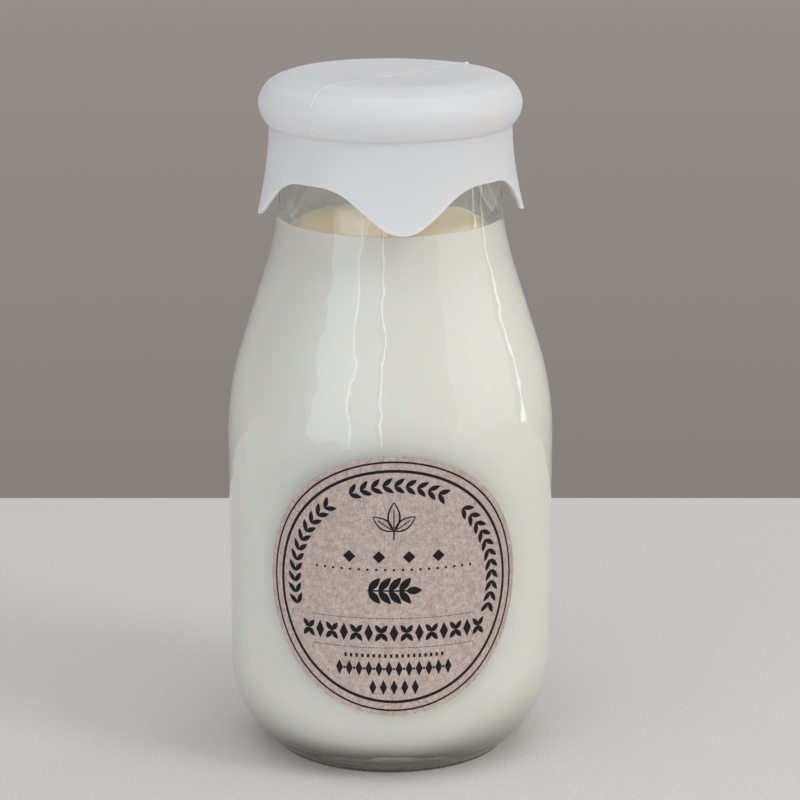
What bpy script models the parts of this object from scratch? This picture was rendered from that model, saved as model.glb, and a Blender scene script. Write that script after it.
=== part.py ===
"""Milk-bottle candle: a thick glass bottle filled with soy wax, under a soft lift-off cap.

Units are metres and +Z is up. The origin is the centre of the base, on the surface that
the bottle stands on, and +Z is the axis that every turned piece shares. The label is on
the -Y side, which is the front.
"""

import math

import bmesh
import bpy
from mathutils import Matrix, Vector

# Glass bottle, outside.
GLASS_HEIGHT = 0.1627
BODY_RADIUS = 0.0393
BODY_TAPER = 0.00024
BASE_RADIUS = 0.0271
BASE_CHAMFER = 0.0008
HEEL_HEIGHT = 0.0215
SHOULDER_HEIGHT = 0.0771
SHOULDER_ROUND = 0.075
NECK_RADIUS = 0.0263
NECK_LENGTH = 0.0214
NECK_ROUND = 0.075
LIP_OVERHANG = 0.0007
LIP_DEPTH = 0.0095

# Glass bottle, inside and underneath.
WALL = 0.0040
FLOOR_THICKNESS = 0.0074
INNER_HEEL_RADIUS = 0.0150
BEARING_WIDTH = 0.0030
PUSH_UP = 0.0022
RIM_ROUND = 0.0016

# Wax and wick.
HEADSPACE = 0.0331
WICK_RADIUS = 0.0013
WICK_TRIM = 0.0064
TAB_RADIUS = 0.0100
TAB_THICKNESS = 0.0005
TAB_NECK_HEIGHT = 0.0050
TAB_NECK_WALL = 0.0005
STICKER_RADIUS = 0.0090
STICKER_THICKNESS = 0.0008

# Label on the front.
LABEL_RADIUS = 0.03175
LABEL_THICKNESS = 0.0002
LABEL_HEIGHT = 0.0504
LABEL_TURN = math.radians(1.4)

# Cap.
CAP_TOP_THICKNESS = 0.0020
BEAD_OVERHANG = 0.0024
BEAD_OUT = 0.0083
BEAD_UP = 0.0068
BEAD_DOWN = 0.0073
SKIRT_THICKNESS = 0.0015
SKIRT_FLARE = 0.0028
SKIRT_FLARE_POWER = 1.7
PETALS = 4
PETAL_TURN = math.radians(5.4)
PETAL_TIP_DEPTH = 0.0331
PETAL_DROP = 0.0102
PETAL_POINT = 1.75

# Clearance between pieces that touch.
GAP = 0.0003

BOTTLE_STEPS = 56
CAP_STEPS = 72
SMALL_STEPS = 24
SMOOTH_ANGLE = math.radians(35)

# Places that follow from the sizes above.
HEEL_BODY_RADIUS = BODY_RADIUS - BODY_TAPER
HEEL_WIDTH = HEEL_BODY_RADIUS - BASE_RADIUS
HEEL_RADIUS = (HEEL_WIDTH**2 + HEEL_HEIGHT**2) / (2 * HEEL_WIDTH)
INNER_HEEL_TOP = FLOOR_THICKNESS + INNER_HEEL_RADIUS
NECK_BOTTOM = GLASS_HEIGHT - NECK_LENGTH
LIP_RADIUS = NECK_RADIUS + LIP_OVERHANG
FILL_HEIGHT = GLASS_HEIGHT - HEADSPACE

# The shoulder is two arcs with a straight cone between them. The arcs keep their named
# radii where there is room for them, and shrink together where there isn't.
SHOULDER_DROP = NECK_BOTTOM - SHOULDER_HEIGHT
SHOULDER_STEP = BODY_RADIUS - NECK_RADIUS
ARC_ROOM = (SHOULDER_DROP**2 + SHOULDER_STEP**2) / (2 * SHOULDER_STEP)
ARC_SHARE = min(1.0, 0.98 * ARC_ROOM / (SHOULDER_ROUND + NECK_ROUND))
SHOULDER_RADIUS = SHOULDER_ROUND * ARC_SHARE
NECK_BLEND_RADIUS = NECK_ROUND * ARC_SHARE
ARC_SUM = SHOULDER_RADIUS + NECK_BLEND_RADIUS
ARC_ACROSS = ARC_SUM - SHOULDER_STEP
SHOULDER_SLOPE = math.atan2(SHOULDER_DROP, ARC_ACROSS) - math.acos(
    ARC_SUM / math.hypot(ARC_ACROSS, SHOULDER_DROP)
)
SHOULDER_TOP = SHOULDER_HEIGHT + SHOULDER_RADIUS * math.sin(SHOULDER_SLOPE)
CONE_TOP = NECK_BOTTOM - NECK_BLEND_RADIUS * math.sin(SHOULDER_SLOPE)

TAB_BOTTOM = FLOOR_THICKNESS + GAP + STICKER_THICKNESS + GAP
TAB_BORE = WICK_RADIUS + GAP
TAB_NECK_RADIUS = TAB_BORE + TAB_NECK_WALL
CAP_HEIGHT = GLASS_HEIGHT + GAP + CAP_TOP_THICKNESS
CAP_BORE = LIP_RADIUS + GAP
SKIRT_RADIUS = CAP_BORE + SKIRT_THICKNESS
BEAD_INNER_RADIUS = SKIRT_RADIUS + BEAD_OVERHANG - BEAD_OUT
BEAD_CENTRE = CAP_HEIGHT - BEAD_UP
BEAD_UNDER_ANGLE = math.acos((SKIRT_RADIUS - BEAD_INNER_RADIUS) / BEAD_OUT)
SKIRT_TOP = BEAD_CENTRE - BEAD_DOWN * math.sin(BEAD_UNDER_ANGLE)
SKIRT_BOTTOM = CAP_HEIGHT - PETAL_TIP_DEPTH


def outer_radius(z):
    """The glass's outside radius at height z, below the lip."""
    if z < HEEL_HEIGHT:
        across = math.sqrt(HEEL_RADIUS**2 - (HEEL_HEIGHT - z) ** 2)
        return HEEL_BODY_RADIUS - HEEL_RADIUS + across
    if z < SHOULDER_HEIGHT:
        share = (SHOULDER_HEIGHT - z) / (SHOULDER_HEIGHT - HEEL_HEIGHT)
        return BODY_RADIUS - BODY_TAPER * share
    if z < SHOULDER_TOP:
        across = math.sqrt(SHOULDER_RADIUS**2 - (z - SHOULDER_HEIGHT) ** 2)
        return BODY_RADIUS - SHOULDER_RADIUS + across
    if z < CONE_TOP:
        start = BODY_RADIUS - SHOULDER_RADIUS * (1 - math.cos(SHOULDER_SLOPE))
        return start - (z - SHOULDER_TOP) * math.tan(SHOULDER_SLOPE)
    if z < NECK_BOTTOM:
        across = math.sqrt(NECK_BLEND_RADIUS**2 - (NECK_BOTTOM - z) ** 2)
        return NECK_RADIUS + NECK_BLEND_RADIUS - across
    return NECK_RADIUS


def inner_radius(z, clearance=0.0):
    """The inside radius of the bottle at height z, above its floor, less a clearance."""
    if z >= INNER_HEEL_TOP:
        return outer_radius(z) - WALL - clearance
    corner = INNER_HEEL_RADIUS - clearance
    across = math.sqrt(max(0.0, corner**2 - (INNER_HEEL_TOP - z) ** 2))
    return outer_radius(INNER_HEEL_TOP) - WALL - INNER_HEEL_RADIUS + across


def steps_between(low, high, count):
    """Evenly spaced values from low to high, with both ends."""
    return [low + (high - low) * i / count for i in range(count + 1)]


def arc(centre_r, centre_z, radius_r, radius_z, start, end, count):
    """Points on an elliptical arc in the profile plane, angles in degrees from +r to +z."""
    angles = [math.radians(a) for a in steps_between(start, end, count)]
    return [
        (centre_r + radius_r * math.cos(a), centre_z + radius_z * math.sin(a))
        for a in angles
    ]


def wall_heights():
    """Heights along the shoulder and the neck's blend, where the wall's slope changes."""
    shoulder = steps_between(SHOULDER_HEIGHT, SHOULDER_TOP, 4)
    return shoulder + steps_between(CONE_TOP, NECK_BOTTOM, 4)


def inside_points(top, clearance=0.0):
    """(radius, height) points up the inside of the bottle, from its floor to a height."""
    corner = [
        INNER_HEEL_TOP - (INNER_HEEL_RADIUS - clearance) * math.cos(math.radians(a))
        for a in steps_between(0, 90, 6)
    ]
    heights = corner + [z for z in wall_heights() if z < top - GAP] + [top]
    return [(inner_radius(z, clearance), z) for z in heights]


def make_material(name, colour, roughness, metallic=0.0, alpha=1.0, transmission=0.0):
    """A Principled material of one plain finish."""
    material = bpy.data.materials.new(name)
    material.use_nodes = True
    shader = material.node_tree.nodes["Principled BSDF"]
    shader.inputs["Base Color"].default_value = (*colour, 1.0)
    shader.inputs["Roughness"].default_value = roughness
    shader.inputs["Metallic"].default_value = metallic
    shader.inputs["Alpha"].default_value = alpha
    shader.inputs["Transmission Weight"].default_value = transmission
    return material


def turned_mesh(outline, steps, start_angle=0.0):
    """A bmesh of the closed (radius, height) outline turned about the Z axis."""
    turned = bmesh.new()
    points = [turned.verts.new((r, 0.0, z)) for r, z in outline]
    edges = [turned.edges.new((a, b)) for a, b in zip(points, points[1:])]
    if outline[0][0] > 0:
        edges.append(turned.edges.new((points[-1], points[0])))
    bmesh.ops.spin(
        turned, geom=points + edges, cent=(0, 0, 0), axis=(0, 0, 1),
        angle=math.tau, steps=steps, use_merge=True,
    )
    bmesh.ops.remove_doubles(turned, verts=turned.verts, dist=1e-7)
    bmesh.ops.rotate(turned, verts=turned.verts, matrix=Matrix.Rotation(start_angle, 3, "Z"))
    bmesh.ops.recalc_face_normals(turned, faces=turned.faces)
    return turned


def make_object(name, source, material):
    """Turns a bmesh into a smooth-shaded object in the scene."""
    mesh = bpy.data.meshes.new(name)
    source.to_mesh(mesh)
    source.free()
    mesh.shade_smooth()
    mesh.set_sharp_from_angle(angle=SMOOTH_ANGLE)
    mesh.materials.append(material)
    made = bpy.data.objects.new(name, mesh)
    bpy.context.scene.collection.objects.link(made)
    return made


def bottle_outline():
    """The glass section, from the middle of its underside out, up, over and back in."""
    contact_radius = outer_radius(BASE_CHAMFER)
    bearing_out = contact_radius - BASE_CHAMFER
    bearing_in = bearing_out - BEARING_WIDTH
    underside = [
        (bearing_in * share, PUSH_UP * (1 - share**2) ** 2)
        for share in steps_between(0, 1, 5)
    ]
    first_angle = math.acos((HEEL_HEIGHT - BASE_CHAMFER) / HEEL_RADIUS)
    heel_heights = [
        HEEL_HEIGHT - HEEL_RADIUS * math.cos(a)
        for a in steps_between(first_angle, math.pi / 2, 8)
    ]
    outside = [(outer_radius(z), z) for z in heel_heights + wall_heights()]
    lip_bottom = GLASS_HEIGHT - LIP_DEPTH
    rim_height = GLASS_HEIGHT - RIM_ROUND
    mouth_radius = NECK_RADIUS - WALL
    lip = [(NECK_RADIUS, lip_bottom - LIP_OVERHANG), (LIP_RADIUS, lip_bottom)]
    lip += arc(LIP_RADIUS - RIM_ROUND, rim_height, RIM_ROUND, RIM_ROUND, 0, 90, 3)
    lip += arc(mouth_radius + RIM_ROUND, rim_height, RIM_ROUND, RIM_ROUND, 90, 180, 3)
    inside = inside_points(NECK_BOTTOM)[::-1]
    floor = [(0.0, FLOOR_THICKNESS)]
    return underside + [(bearing_out, 0.0)] + outside + lip + inside + floor


def wax_outline():
    """The wax section: it fills the bottle and leaves room for the wick and its tab."""
    bottom = FLOOR_THICKNESS + GAP
    tab_top = TAB_BOTTOM + TAB_THICKNESS + GAP
    neck_top = TAB_BOTTOM + TAB_NECK_HEIGHT + GAP
    room = [
        (WICK_RADIUS + GAP, FILL_HEIGHT),
        (WICK_RADIUS + GAP, neck_top),
        (TAB_NECK_RADIUS + GAP, neck_top),
        (TAB_NECK_RADIUS + GAP, tab_top),
        (TAB_RADIUS + GAP, tab_top),
        (TAB_RADIUS + GAP, bottom),
    ]
    return room + inside_points(FILL_HEIGHT, GAP)


def wick_outline():
    """The wick section, from the tab's underside to its trimmed end above the wax."""
    top = FILL_HEIGHT + WICK_TRIM
    return [(0.0, TAB_BOTTOM), (WICK_RADIUS, TAB_BOTTOM), (WICK_RADIUS, top), (0.0, top)]


def tab_outline():
    """The section of the metal tab and of the short neck that grips the wick."""
    top = TAB_BOTTOM + TAB_THICKNESS
    neck_top = TAB_BOTTOM + TAB_NECK_HEIGHT
    return [
        (TAB_BORE, TAB_BOTTOM),
        (TAB_RADIUS, TAB_BOTTOM),
        (TAB_RADIUS, top),
        (TAB_NECK_RADIUS, top),
        (TAB_NECK_RADIUS, neck_top),
        (TAB_BORE, neck_top),
    ]


def sticker_outline():
    """The section of the round adhesive pad between the tab and the bottle's floor."""
    bottom = FLOOR_THICKNESS + GAP
    top = bottom + STICKER_THICKNESS
    return [(0.0, bottom), (STICKER_RADIUS, bottom), (STICKER_RADIUS, top), (0.0, top)]


def skirt_outer_radius(z):
    """The skirt's outside radius at height z: straight at the bead, flaring to the tips."""
    share = min(1.0, (SKIRT_TOP - z) / (SKIRT_TOP - SKIRT_BOTTOM))
    return SKIRT_RADIUS + SKIRT_FLARE * max(0.0, share) ** SKIRT_FLARE_POWER


def petal_edge_height(angle):
    """The height of the skirt's scalloped edge at an angle about Z."""
    lobe = (1 + math.cos(PETALS * (angle - PETAL_TURN))) / 2
    return SKIRT_BOTTOM + PETAL_DROP * (1 - lobe**PETAL_POINT)


def cap_outline():
    """The cap section: down inside the skirt, up its outside, and over the bead and top."""
    rows = steps_between(SKIRT_BOTTOM, SKIRT_TOP, 6)
    inside = [(skirt_outer_radius(z) - SKIRT_THICKNESS, z) for z in reversed(rows)]
    outside = [(skirt_outer_radius(z), z) for z in rows]
    under = math.degrees(BEAD_UNDER_ANGLE)
    bead = arc(BEAD_INNER_RADIUS, BEAD_CENTRE, BEAD_OUT, BEAD_DOWN, -under, 0, 4)[1:]
    bead += arc(BEAD_INNER_RADIUS, BEAD_CENTRE, BEAD_OUT, BEAD_UP, 0, 90, 7)[1:]
    underside = CAP_HEIGHT - CAP_TOP_THICKNESS
    middle = [(0.0, underside), (CAP_BORE, underside)]
    return middle + inside + outside + bead + [(0.0, CAP_HEIGHT)]


def make_cap(material):
    """The soft cap: a turned bead and top, with its skirt's edge cut into petals."""
    shaped = turned_mesh(cap_outline(), CAP_STEPS, PETAL_TURN)
    for vert in shaped.verts:
        if vert.co.z >= SKIRT_TOP - GAP:
            continue
        angle = math.atan2(vert.co.y, vert.co.x)
        middle_of_wall = skirt_outer_radius(vert.co.z) - SKIRT_THICKNESS / 2
        inside = math.hypot(vert.co.x, vert.co.y) < middle_of_wall
        share = (SKIRT_TOP - vert.co.z) / (SKIRT_TOP - SKIRT_BOTTOM)
        z = SKIRT_TOP - share * (SKIRT_TOP - petal_edge_height(angle))
        radius = skirt_outer_radius(z) - (SKIRT_THICKNESS if inside else 0.0)
        vert.co = Vector((radius * math.cos(angle), radius * math.sin(angle), z))
    return make_object("cap", shaped, material)


def make_label(material):
    """The round paper label, wrapped on the glass at a small gap."""
    rings = steps_between(0, LABEL_RADIUS, 6)
    outline = [(r, 0.0) for r in rings] + [(r, LABEL_THICKNESS) for r in reversed(rings)]
    wrapped = turned_mesh(outline, BOTTLE_STEPS)
    facing = LABEL_TURN - math.pi / 2
    for vert in wrapped.verts:
        sideways, upward, depth = vert.co
        z = LABEL_HEIGHT + upward
        angle = facing + sideways / BODY_RADIUS
        radius = outer_radius(z) + GAP + depth
        vert.co = Vector((radius * math.cos(angle), radius * math.sin(angle), z))
    bmesh.ops.recalc_face_normals(wrapped, faces=wrapped.faces)
    return make_object("front_label", wrapped, material)


def main():
    for old in list(bpy.data.objects):
        bpy.data.objects.remove(old, do_unlink=True)
    clear = make_material("clear_glass", (0.90, 0.93, 0.90), 0.03, alpha=0.35, transmission=1.0)
    soy = make_material("soy_wax", (0.78, 0.77, 0.64), 0.55)
    cotton = make_material("cotton_wick", (0.83, 0.80, 0.72), 0.90)
    tin = make_material("tinned_steel", (0.72, 0.72, 0.73), 0.35, metallic=1.0)
    foam = make_material("adhesive_pad", (0.86, 0.86, 0.84), 0.80)
    kraft = make_material("kraft_paper", (0.50, 0.42, 0.35), 0.85)
    vinyl = make_material("soft_vinyl", (0.80, 0.80, 0.80), 0.50)
    make_object("glass_bottle", turned_mesh(bottle_outline(), BOTTLE_STEPS), clear)
    make_object("wax_fill", turned_mesh(wax_outline(), BOTTLE_STEPS), soy)
    make_object("wick", turned_mesh(wick_outline(), SMALL_STEPS), cotton)
    make_object("wick_sustainer", turned_mesh(tab_outline(), SMALL_STEPS), tin)
    make_object("wick_sticker", turned_mesh(sticker_outline(), SMALL_STEPS), foam)
    make_label(kraft)
    make_cap(vinyl)


main()
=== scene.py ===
"""The looks of a candle poured in a milk-bottle jar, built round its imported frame.

Every piece is made in metres in the frame's own axes: +Z runs up the bottle's axis from the
surface it stands on, and -Y is the front, where the label is. The glass, the wax, the wick
with its tab and pad, the label and the soft cap each have a class that holds their sizes,
builds their meshes and dresses them.
"""
import logging
import math
from collections.abc import Callable, Iterable
from dataclasses import dataclass, field
from enum import Enum

import bmesh
import bpy
from mathutils import Matrix, Vector, noise


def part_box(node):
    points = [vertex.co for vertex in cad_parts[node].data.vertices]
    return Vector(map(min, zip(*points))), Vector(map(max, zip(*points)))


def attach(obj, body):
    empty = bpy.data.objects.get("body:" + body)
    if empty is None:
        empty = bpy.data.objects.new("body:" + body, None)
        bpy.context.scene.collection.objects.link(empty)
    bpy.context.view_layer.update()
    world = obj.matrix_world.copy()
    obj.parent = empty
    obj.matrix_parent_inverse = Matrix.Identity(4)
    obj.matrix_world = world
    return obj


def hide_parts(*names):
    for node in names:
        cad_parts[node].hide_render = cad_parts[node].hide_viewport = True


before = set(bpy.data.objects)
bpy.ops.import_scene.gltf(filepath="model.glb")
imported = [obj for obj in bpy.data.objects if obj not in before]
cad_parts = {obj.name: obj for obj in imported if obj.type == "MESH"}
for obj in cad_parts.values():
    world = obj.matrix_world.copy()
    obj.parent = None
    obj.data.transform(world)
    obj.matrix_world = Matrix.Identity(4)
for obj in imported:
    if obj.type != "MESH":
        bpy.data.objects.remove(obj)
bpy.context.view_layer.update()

LOG = logging.getLogger("bottle_candle")

Point = tuple[float, float]
Colour = tuple[float, float, float]


class Rides(Enum):
    """The rigid bodies of the frame."""

    BOTTLE = "bottle"
    CAP = "cap"


class Slot(Enum):
    """The record's finish slots."""

    GLASS = "clear_glass"
    WAX = "soy_wax"
    COTTON = "cotton_wick"
    TIN = "tinned_steel"
    PAD = "adhesive_pad"
    PAPER = "kraft_paper"
    VINYL = "soft_vinyl"


def spread(low: float, high: float, count: int) -> list[float]:
    """Evenly spaced values.

    Args:
        low: The first value.
        high: The last value.
        count: How many steps lie between them.

    Returns:
        count + 1 values, both ends included.
    """
    return [low + (high - low) * i / count for i in range(count + 1)]


def arc(centre: Point, radii: Point, start: float, end: float, count: int) -> list[Point]:
    """Points on an elliptical arc in the profile plane.

    Args:
        centre: The arc's centre as (radius, height).
        radii: Its half widths along radius and height.
        start: The first angle in degrees, from +radius towards +height.
        end: The last angle in degrees.
        count: How many steps lie between them.

    Returns:
        The points as (radius, height).
    """
    turns = [math.radians(a) for a in spread(start, end, count)]
    return [
        (centre[0] + radii[0] * math.cos(a), centre[1] + radii[1] * math.sin(a)) for a in turns
    ]


def turned(outline: list[Point], steps: int, start: float = 0.0) -> bmesh.types.BMesh:
    """Turns a closed section about the Z axis.

    Args:
        outline: The section as (radius, height) points. It may begin and end on the axis.
        steps: How many faces go round.
        start: The angle of the first edge, in radians.

    Returns:
        A closed bmesh with its faces outward.
    """
    made = bmesh.new()
    points = [made.verts.new((r, 0.0, z)) for r, z in outline]
    edges = [made.edges.new(pair) for pair in zip(points, points[1:])]
    if outline[0][0] > 0 or outline[-1][0] > 0:
        edges.append(made.edges.new((points[-1], points[0])))
    bmesh.ops.spin(
        made, geom=points + edges, cent=(0, 0, 0), axis=(0, 0, 1),
        angle=math.tau, steps=steps, use_merge=True,
    )
    bmesh.ops.remove_doubles(made, verts=made.verts, dist=1e-7)
    bmesh.ops.rotate(made, verts=made.verts, matrix=Matrix.Rotation(start, 3, "Z"))
    bmesh.ops.recalc_face_normals(made, faces=made.faces)
    return made


def tube(path: Iterable[Vector], radius: float, sides: int = 8) -> bmesh.types.BMesh:
    """A round tube with closed ends that follows a path.

    Args:
        path: The points on its middle line.
        radius: Its radius.
        sides: How many faces go round it.

    Returns:
        A closed bmesh.
    """
    data = bpy.data.curves.new("path", "CURVE")
    data.dimensions = "3D"
    data.bevel_depth = radius
    data.bevel_resolution = max(0, sides // 4 - 1)
    data.use_fill_caps = True
    points = list(path)
    spline = data.splines.new("POLY")
    spline.points.add(len(points) - 1)
    for knot, place in zip(spline.points, points):
        knot.co = (*place, 1.0)
    holder = bpy.data.objects.new("path", data)
    bpy.context.scene.collection.objects.link(holder)
    graph = bpy.context.evaluated_depsgraph_get()
    mesh = holder.evaluated_get(graph).to_mesh()
    made = bmesh.new()
    made.from_mesh(mesh)
    bpy.data.objects.remove(holder, do_unlink=True)
    bpy.data.curves.remove(data)
    bmesh.ops.remove_doubles(made, verts=made.verts, dist=1e-7)
    bmesh.ops.recalc_face_normals(made, faces=made.faces)
    return made


def join(parts: Iterable[bmesh.types.BMesh]) -> bmesh.types.BMesh:
    """Puts several shapes into one and frees them.

    Args:
        parts: The shapes.

    Returns:
        One bmesh that holds them all.
    """
    whole = bmesh.new()
    holder = bpy.data.meshes.new("part")
    for part in parts:
        part.to_mesh(holder)
        part.free()
        whole.from_mesh(holder)
    bpy.data.meshes.remove(holder)
    return whole


def move_points(shape: bmesh.types.BMesh, rule: Callable[[Vector], Vector]) -> None:
    """Moves every point of a shape by a rule.

    Args:
        shape: The shape to change.
        rule: Gives a point's new place from its old one.
    """
    for vert in shape.verts:
        vert.co = rule(vert.co.copy())


@dataclass
class Piece:
    """What every finished piece needs besides its shape."""

    name: str
    body: Rides
    slot: Slot
    replaces: tuple[str, ...] = ()
    sharp_angle: float = 35.0

    def place(self, shape: bmesh.types.BMesh, material: bpy.types.Material) -> bpy.types.Object:
        """Makes the object, gives it its finish and lets it ride its body.

        Args:
            shape: The piece's shape, which is freed.
            material: The piece's finish.

        Returns:
            The new object.
        """
        mesh = bpy.data.meshes.new(self.name)
        shape.to_mesh(mesh)
        shape.free()
        mesh.shade_smooth()
        mesh.set_sharp_from_angle(angle=math.radians(self.sharp_angle))
        mesh.materials.append(material)
        made = bpy.data.objects.new(self.name, mesh)
        bpy.context.scene.collection.objects.link(made)
        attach(made, self.body.value)
        if self.replaces:
            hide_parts(*self.replaces)
        LOG.info("%s: %d faces on %s", self.name, len(mesh.polygons), self.body.value)
        return made


class Graph:
    """A short way to build the nodes of a material or a world."""

    def __init__(self, name: str, world: bool = False) -> None:
        """Starts an empty node tree with its output.

        Args:
            name: The material's or the world's name.
            world: Whether it is a world.
        """
        self.owner = (bpy.data.worlds if world else bpy.data.materials).new(name)
        self.owner.use_nodes = True
        self.tree = self.owner.node_tree
        self.tree.nodes.clear()
        self.output = self.node("OutputWorld" if world else "OutputMaterial")

    def node(self, kind: str, **sockets: object) -> bpy.types.Node:
        """Adds a node.

        Args:
            kind: The node's type without its ShaderNode prefix.
            sockets: Values or sockets for its inputs, with _ for a space, and settings
                of the node itself in lower case.

        Returns:
            The new node.
        """
        made = self.tree.nodes.new("ShaderNode" + kind)
        for key, value in sockets.items():
            if hasattr(made, key) and key.islower():
                setattr(made, key, value)
                continue
            place = made.inputs[key.replace("_", " ")]
            if isinstance(value, bpy.types.NodeSocket):
                self.tree.links.new(value, place)
            else:
                place.default_value = value
        return made

    def coords(self) -> bpy.types.NodeSocket:
        """The object's own coordinates."""
        return self.node("TexCoord").outputs["Object"]

    def noise(self, scale: float, detail: float = 2.0, rough: float = 0.5,
              stretch: tuple[float, float, float] = (1.0, 1.0, 1.0)) -> bpy.types.NodeSocket:
        """A noise pattern on the object's coordinates.

        Args:
            scale: Patches in a metre.
            detail: How many finer layers it has.
            rough: How strong they are.
            stretch: A scale for each axis.

        Returns:
            The pattern's strength, from 0 to 1.
        """
        moved = self.node("Mapping", Vector=self.coords(), Scale=stretch)
        made = self.node(
            "TexNoise", Vector=moved.outputs[0], Scale=scale, Detail=detail, Roughness=rough
        )
        return made.outputs["Fac"]

    def mix(self, factor: bpy.types.NodeSocket, first: object,
            second: object) -> bpy.types.NodeSocket:
        """A mix of two colours.

        Args:
            factor: The second colour's share.
            first: The first colour, or its socket.
            second: The second colour, or its socket.

        Returns:
            The mixed colour.
        """
        made = self.node("Mix", data_type="RGBA")
        self.tree.links.new(factor, made.inputs[0])
        for place, value in ((6, first), (7, second)):
            if isinstance(value, bpy.types.NodeSocket):
                self.tree.links.new(value, made.inputs[place])
            else:
                made.inputs[place].default_value = (*value, 1.0)
        return made.outputs[2]

    def scaled(self, value: bpy.types.NodeSocket, low: float, high: float,
               out_low: float, out_high: float) -> bpy.types.NodeSocket:
        """Maps a number from one range to another and keeps it inside.

        Args:
            value: The number.
            low: Its lowest value.
            high: Its highest value.
            out_low: What the lowest becomes.
            out_high: What the highest becomes.

        Returns:
            The mapped number.
        """
        return self.node(
            "MapRange", Value=value, From_Min=low, From_Max=high, To_Min=out_low,
            To_Max=out_high,
        ).outputs["Result"]

    def fade(self, value: bpy.types.NodeSocket, low: float, high: float, first: object,
             second: object, most: float = 1.0) -> bpy.types.NodeSocket:
        """Goes from one colour to another as a number goes between two limits.

        Args:
            value: The number.
            low: Where the first colour ends.
            high: Where the second colour has its greatest share.
            first: The first colour, or its socket.
            second: The second colour, or its socket.
            most: That greatest share.

        Returns:
            The colour.
        """
        return self.mix(self.scaled(value, low, high, 0.0, most), first, second)

    def product(self, first: bpy.types.NodeSocket,
                second: bpy.types.NodeSocket) -> bpy.types.NodeSocket:
        """One number times another."""
        made = self.node("Math", operation="MULTIPLY")
        self.tree.links.new(first, made.inputs[0])
        self.tree.links.new(second, made.inputs[1])
        return made.outputs[0]

    def bump(self, height: bpy.types.NodeSocket, strength: float, distance: float,
             under: bpy.types.NodeSocket | None = None) -> bpy.types.NodeSocket:
        """A relief in the surface.

        Args:
            height: The pattern of heights.
            strength: How much of it shows.
            distance: The height of a full step, in metres.
            under: A relief that this one lies on.

        Returns:
            The normal.
        """
        made = self.node("Bump", Height=height, Strength=strength, Distance=distance)
        if under is not None:
            self.tree.links.new(under, made.inputs["Normal"])
        return made.outputs["Normal"]

    def close(self, shader: bpy.types.Node) -> bpy.types.Material | bpy.types.World:
        """Joins the shader to the output.

        Args:
            shader: The finished surface.

        Returns:
            The material or the world.
        """
        self.tree.links.new(shader.outputs[0], self.output.inputs["Surface"])
        return self.owner


@dataclass(frozen=True)
class ClearGlass:
    """Clear pressed glass with a faint green cast, a slightly wavy skin and painted shade that
    darkens its thick base.
    """

    tint: Colour = (0.955, 0.972, 0.955)
    tint_pale: Colour = (0.965, 0.978, 0.965)
    roughness: float = 0.012
    index: float = 1.52
    shadow_tint: Colour = (0.95, 0.96, 0.95)
    body_tint: Colour = (0.665, 0.680, 0.628)
    density: float = 20.0
    knurl_height: float = 0.0014
    # Painted shade: the dark colour and the height below which it darkens the base of the glass.
    painted_base_shade: Colour = (0.27, 0.28, 0.235)
    painted_shade_height: float = 0.0042
    painted_shade_fade: float = 0.0006

    def make(self) -> bpy.types.Material:
        """Builds the finish. Shadow rays pass straight through, so light reaches the wax."""
        g = Graph("clear_glass")
        skin = g.bump(g.noise(95.0, 2.0, 0.5, (0.8, 0.8, 1.0)), 0.9, 0.0004)
        skin = g.bump(g.noise(420.0, 2.0, stretch=(1.0, 1.0, 0.5)), 0.06, 0.0002, skin)
        height = g.node("SeparateXYZ", Vector=g.coords()).outputs["Z"]
        knurl = g.product(
            g.noise(1100.0, 1.0), g.scaled(height, 0.0004, self.knurl_height, 1.0, 0.0))
        skin = g.bump(knurl, 1.0, 0.0006, skin)
        colour = g.fade(g.noise(30.0), 0.3, 0.7, self.tint, self.tint_pale)
        # Painted shade: below a set height the glass colour turns dark, in place of the shaded
        # cloth seen through the thick base.
        low = g.scaled(height, self.painted_shade_height, self.painted_shade_height + self.painted_shade_fade, 1.0, 0.0)
        colour = g.mix(low, colour, self.painted_base_shade)
        glass = g.node(
            "BsdfPrincipled", Base_Color=colour, Roughness=self.roughness, IOR=self.index,
            Normal=skin, Transmission_Weight=1.0,
        )
        clear = g.node("BsdfTransparent", Color=(*self.shadow_tint, 1.0))
        both = g.node("MixShader", Fac=g.node("LightPath").outputs["Is Shadow Ray"])
        g.tree.links.new(glass.outputs[0], both.inputs[1])
        g.tree.links.new(clear.outputs[0], both.inputs[2])
        cast = g.node("VolumeAbsorption", Color=(*self.body_tint, 1.0), Density=self.density)
        g.tree.links.new(cast.outputs[0], g.output.inputs["Volume"])
        return g.close(both)


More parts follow.
